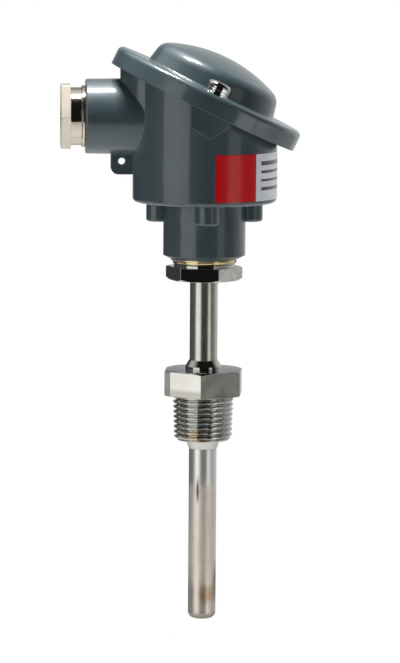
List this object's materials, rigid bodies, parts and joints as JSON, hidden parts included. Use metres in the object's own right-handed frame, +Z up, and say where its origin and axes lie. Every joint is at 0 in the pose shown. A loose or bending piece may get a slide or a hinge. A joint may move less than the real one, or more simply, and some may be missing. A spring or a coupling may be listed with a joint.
{
  "type": "temperature sensor",
  "caption": "Resistance thermometer: a painted cast head with a sloping domed cap and a cable gland, on a hexagon fitting with a taper thread and a round-ended protection tube.",
  "frame": {"origin": "on the axis of the protection tube, at the underside of the process hexagon, where the taper thread starts", "axes": "+Z up the sensor axis towards the cap; the cable entry points along -X; the cap slopes down towards +X"},
  "size_m": [0.0854, 0.072, 0.2082],
  "materials": {
    "grey_paint": "semi-gloss grey enamel on a casting",
    "nickel": "nickel-plated brass, smooth",
    "stainless": "turned stainless steel, fine brush marks",
    "zinc_steel": "zinc-plated steel",
    "seal_rubber": "black seal rubber",
    "label_film": "metallised film, one field red",
    "ceramic": "unglazed white ceramic",
    "brass": "turned brass",
    "nickel_wire": "bare nickel wire"
  },
  "bodies": {
    "head": {"head_housing": "grey_paint", "label": "label_film", "head_nipple": "stainless", "extension_tube": "stainless", "protection_tube": "stainless", "tube_tip": "stainless", "process_fitting": "stainless", "insert_screw_left": "zinc_steel", "insert_screw_right": "zinc_steel", "insert_spring_left": "zinc_steel", "insert_spring_right": "zinc_steel", "ground_screw": "zinc_steel", "ground_washer": "zinc_steel", "gland_thrust_washer": "zinc_steel", "gland_grommet": "seal_rubber"},
    "lid": {"cap": "grey_paint", "cap_gasket": "seal_rubber"},
    "front_washers": {"cap_washer_front": "zinc_steel", "cap_spring_washer_front": "zinc_steel"},
    "front_screw": {"cap_screw_front": "zinc_steel"},
    "rear_washers": {"cap_washer_rear": "zinc_steel", "cap_spring_washer_rear": "zinc_steel"},
    "rear_screw": {"cap_screw_rear": "zinc_steel"},
    "gland_ring": {"gland_collar": "nickel"},
    "gland": {"gland_nut": "nickel"},
    "insert": {"insert_flange": "stainless", "insert_sheath": "stainless", "mineral_insulation": "ceramic", "sensing_element": "ceramic", "terminal_block": "ceramic", "terminal_1": "brass", "terminal_screw_1": "brass", "lead_wire_1": "nickel_wire", "terminal_2": "brass", "terminal_screw_2": "brass", "lead_wire_2": "nickel_wire", "terminal_3": "brass", "terminal_screw_3": "brass", "lead_wire_3": "nickel_wire", "terminal_4": "brass", "terminal_screw_4": "brass", "lead_wire_4": "nickel_wire"}
  },
  "joints": [
    {"name": "cap_lift", "type": "slide", "parent": "head", "child": "lid", "axis": [0.4305, 0, 0.9026], "range_m": [0, 0.045]},
    {"name": "front_screw_rise", "type": "slide", "parent": "lid", "child": "front_washers", "axis": [0.4305, 0, 0.9026], "range_m": [0, 0.0088]},
    {"name": "front_screw_turn", "type": "hinge", "parent": "front_washers", "child": "front_screw", "pos_m": [-0.001, -0.0299, 0.1035], "axis": [0.4305, 0, 0.9026], "range_deg": [0, 3960]},
    {"name": "rear_screw_rise", "type": "slide", "parent": "lid", "child": "rear_washers", "axis": [0.4305, 0, 0.9026], "range_m": [0, 0.0088]},
    {"name": "rear_screw_turn", "type": "hinge", "parent": "rear_washers", "child": "rear_screw", "pos_m": [-0.001, 0.0299, 0.1035], "axis": [0.4305, 0, 0.9026], "range_deg": [0, 3960]},
    {"name": "gland_back_out", "type": "slide", "parent": "head", "child": "gland_ring", "axis": [-1, 0, 0], "range_m": [0, 0.006]},
    {"name": "gland_turn", "type": "hinge", "parent": "gland_ring", "child": "gland", "pos_m": [-0.048, 0, 0.1], "axis": [-1, 0, 0], "range_deg": [0, 1440]},
    {"name": "insert_push", "type": "slide", "parent": "head", "child": "insert", "axis": [0, 0, 1], "range_m": [0, 0.006], "stiffness_N_per_m": 1500, "springref_m": -0.004, "deforming": ["insert_spring_left", "insert_spring_right"]}
  ],
  "couplings": [
    {"joint": "front_screw_turn", "follows": "front_screw_rise", "rad_per_m": 7854},
    {"joint": "rear_screw_turn", "follows": "rear_screw_rise", "rad_per_m": 7854},
    {"joint": "gland_turn", "follows": "gland_back_out", "rad_per_m": 4188.8}
  ]
}
